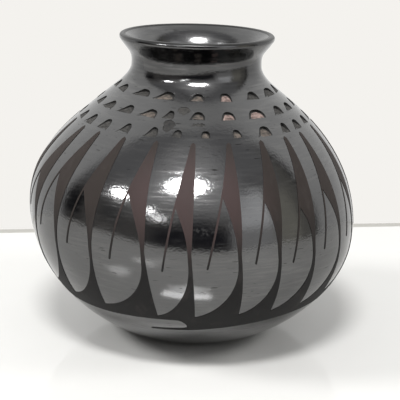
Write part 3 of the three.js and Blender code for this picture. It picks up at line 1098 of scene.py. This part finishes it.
floor_finish, tree, shader = new_finish("pale_floor", FLOOR_FINISH)
floor_colour = blend_colours(tree, object_noise(tree, *VEIN_NOISE), *VEIN_COLOURS)
tree.links.new(floor_colour, shader.inputs["Base Color"])
gap_finish = new_finish("shaded_gap", GAP_FINISH)[0]


def across_floor(ground, depth_at):
    """Two points of the floor, at its left and right sides."""
    return [ground.verts.new((x, depth_at(x), 0)) for x in (-FLOOR_SIDE, FLOOR_SIDE)]


ground = bmesh.new()
front_left, front_right = across_floor(ground, lambda x: FLOOR_FRONT)
gap_left, gap_right = across_floor(ground, lambda x: FLOOR_BACK + FLOOR_SLANT * x - GAP)
back_left, back_right = across_floor(ground, lambda x: FLOOR_BACK + FLOOR_SLANT * x)
ground.faces.new((front_left, front_right, gap_right, gap_left))
ground.faces.new((gap_left, gap_right, back_right, back_left)).material_index = 1
floor_mesh = bpy.data.meshes.new("floor")
ground.to_mesh(floor_mesh)
ground.free()
floor_mesh.materials.append(floor_finish)
floor_mesh.materials.append(gap_finish)
floor = bpy.data.objects.new("floor", floor_mesh)
bpy.context.scene.collection.objects.link(floor)
print("floor faces:", len(floor_mesh.polygons))

# %% [markdown]
# ## The room
#
# A black mirror shows its room, so the room is set by what the pot shows. It is pale behind and beside
# the pot and dim in front, with darker and brighter cards in it: dark ones low in front and at the left,
# a bright one to the right, and brown and dark ones beside that. They could be planes, but then they would
# stand in the way of the other views, so they are drawn on the world as ranges of azimuth and elevation.
# The camera sees only a plain pale world, and matte surfaces get half of the room's light, because the
# fills shape their shadows better.

# %% Room
SEEN_ROOM = (0.905, 0.888, 0.855)
PALE_ROOM = (0.95, 0.95, 0.94)
NO_LIGHT = (0, 0, 0)
MATTE_LOSS = 0.5
# Colour, then azimuth from the front and elevation, each as a middle, half its reach and a soft edge.
ROOM_CARDS = [
    ((1.20, 1.20, 1.19), (180, 85, 10), (42, 25, 10)),
    ((0.49, 0.49, 0.50), (0, 98, 3), (38, 54, 2)),
    ((0.26, 0.25, 0.24), (0, 96, 5), (5, 31, 14)),
    ((0.03, 0.03, 0.035), (-89, 9, 3), (10, 12, 5)),
    ((0.18, 0.18, 0.18), (-56, 8, 3), (14, 9, 4)),
    ((0.05, 0.05, 0.06), (2, 30, 8), (0, 10, 5)),
    ((0.07, 0.07, 0.08), (6, 10, 4), (12, 12, 4)),
    ((0.85, 0.85, 0.85), (46, 17, 4), (2, 12, 4)),
    ((1.75, 1.77, 1.80), (47, 14, 4), (24, 14, 4)),
    ((0.68, 0.66, 0.58), (72, 10, 3), (12, 20, 6)),
    ((0.38, 0.37, 0.34), (89, 6, 1.5), (18, 32, 8)),
    ((0.02, 0.02, 0.02), (94, 1.5, 0.8), (22, 30, 6)),
    ((0.98, 0.98, 0.98), (-3, 44, 14), (52, 28, 12)),
]


def within(tree, angle, middle, half, soft):
    """One where an angle is within half a reach of a middle, and zero outside it, with a soft edge."""
    away = sum_of(tree, angle, math.radians(middle), "SUBTRACT")
    turned_back = add(tree, "Math", {0: away, 1: math.pi, 2: -math.pi}, operation="WRAP").outputs["Value"]
    distance = add(tree, "Math", {0: turned_back}, operation="ABSOLUTE").outputs["Value"]
    return spread(tree, distance, math.radians(half - soft), math.radians(half + soft), 1.0, 0.0)


world = bpy.data.worlds.new("room")
world.use_nodes = True
bpy.context.scene.world = world
tree = world.node_tree
direction = add(tree, "SeparateXYZ", {"Vector": add(tree, "TexCoord").outputs["Generated"]}).outputs
to_front = sum_of(tree, direction["Y"], -1.0, "MULTIPLY")
azimuth = sum_of(tree, direction["X"], to_front, "ARCTAN2")
elevation = add(tree, "Math", {0: direction["Z"]}, operation="ARCSINE").outputs["Value"]
room = add(tree, "RGB").outputs["Color"]
room.default_value = (*PALE_ROOM, 1)
for colour, across, up in ROOM_CARDS:
    inside_card = sum_of(tree, within(tree, azimuth, *across), within(tree, elevation, *up), "MULTIPLY")
    room = blend_colours(tree, inside_card, room, colour)
path = add(tree, "LightPath").outputs
loss = sum_of(tree, path["Is Diffuse Ray"], MATTE_LOSS, "MULTIPLY")
room = blend_colours(tree, loss, room, NO_LIGHT)
room = blend_colours(tree, path["Is Camera Ray"], room, SEEN_ROOM)
tree.links.new(room, tree.nodes["Background"].inputs["Color"])
print("cards in the room:", len(ROOM_CARDS))

# %% [markdown]
# ## Lights
#
# Four oval lamps make the highlights, and are kept out of the diffuse light. The polished floor mirrors
# them into the lower wall. A weak coat mirrors too little for that, so three glints lie on the floor where
# these images belong. Three broad fills light the matte surfaces and the floor, and are kept out of
# reflections. One light could do all this, but apart each can be set by itself.

# %% Kinds of light
LIT_POINT = Vector((0, -70, 95)) * MM
LAMP_DISTANCE = 1.4
FILL_DISTANCE = 1.8
GLINT_LIFT = 0.5


def oval_light(name, place, turns, width, height, brightness):
    """A light whose face is as bright as a number says, whatever its size."""
    data = bpy.data.lights.new(name, "AREA")
    data.shape = "ELLIPSE"
    data.size = width
    data.size_y = height
    data.energy = brightness * math.pi * (math.pi * width * height / 4)
    light = bpy.data.objects.new(name, data)
    light.location = place
    light.rotation_euler = turns
    light.visible_camera = False
    bpy.context.scene.collection.objects.link(light)
    return light


def soft_light(name, azimuth, elevation, distance, width, height, brightness):
    """An oval light seen from the lit point at an azimuth and elevation, facing it."""
    turn = math.radians(azimuth)
    climb = math.radians(elevation)
    level = Vector((math.sin(turn), -math.cos(turn), 0)) * math.cos(climb)
    place = LIT_POINT + (level + Vector((0, 0, math.sin(climb)))) * distance
    return oval_light(name, place, (math.pi / 2 - climb, 0, turn), width, height, brightness)


def soft_fill(name, azimuth, elevation, width, height, brightness):
    soft_light(name, azimuth, elevation, FILL_DISTANCE, width, height, brightness).visible_glossy = False


def lamp(name, azimuth, elevation, width, height, brightness):
    soft_light(name, azimuth, elevation, LAMP_DISTANCE, width, height, brightness).visible_diffuse = False


def floor_glint(name, x, y, width, height, brightness):
    """The image of a lamp in the polished floor, as a light that lies there and faces up."""
    place = Vector((x, y, GLINT_LIFT)) * MM
    oval_light(name, place, (math.pi, 0, 0), width * MM, height * MM, brightness).visible_diffuse = False


# %% Lamps, glints and fills
# Azimuth from the front and elevation in degrees, width and height in metres, and brightness.
LAMPS = {
    "high_lamp": (-3.5, 50.5, 0.57, 0.21, 105),
    "left_lamp": (-57, 32.5, 0.29, 0.11, 75),
    "low_lamp": (-29, 23, 0.13, 0.10, 24),
    "low_lamp_glow": (-22, 17, 0.22, 0.11, 10),
}
FILLS = {
    "key_fill": (-8, 62.5, 0.55, 0.3, 60),
    "left_fill": (-84, 36, 0.6, 0.5, 25),
    "right_fill": (84, 34, 0.6, 0.5, 13),
}
# Place on the floor, width and height in millimetres, and brightness.
GLINTS = {
    "high_lamp_glint": (-6, -104, 45, 10, 4.4),
    "left_lamp_glint": (-97, -105, 42, 9, 0.9),
    "low_lamp_glint": (-95, -188, 52, 15, 2.2),
}
for light_kind, lights in ((lamp, LAMPS), (floor_glint, GLINTS), (soft_fill, FILLS)):
    for name, values in lights.items():
        light_kind(name, *values)
bpy.data.lights["high_lamp_glint"].shape = "RECTANGLE"
print("lights:", len(bpy.data.lights))

# %% [markdown]
# ## The camera
#
# The camera stands where the outline of the pot looks as it does in the photograph, a little above the
# rim and looking down, with a small roll. A long lens from further back would flatten the mouth.

# %% Camera
CAMERA_PLACE = Vector((2.1, -600, 238.05)) * MM
CAMERA_PITCH = 0.27552
CAMERA_ROLL = 0.025345
CAMERA_LENS = 106.05
SENSOR = 36.0

camera_data = bpy.data.cameras.new("camera")
camera_data.lens = CAMERA_LENS
camera_data.sensor_width = SENSOR
camera = bpy.data.objects.new("camera", camera_data)
turn = Matrix.Rotation(math.pi / 2 - CAMERA_PITCH, 4, "X") @ Matrix.Rotation(CAMERA_ROLL, 4, "Z")
camera.matrix_world = Matrix.Translation(CAMERA_PLACE) @ turn
bpy.context.scene.collection.objects.link(camera)
bpy.context.scene.camera = camera
bpy.context.scene.view_settings.view_transform = "Standard"
print("camera lens in mm:", CAMERA_LENS)
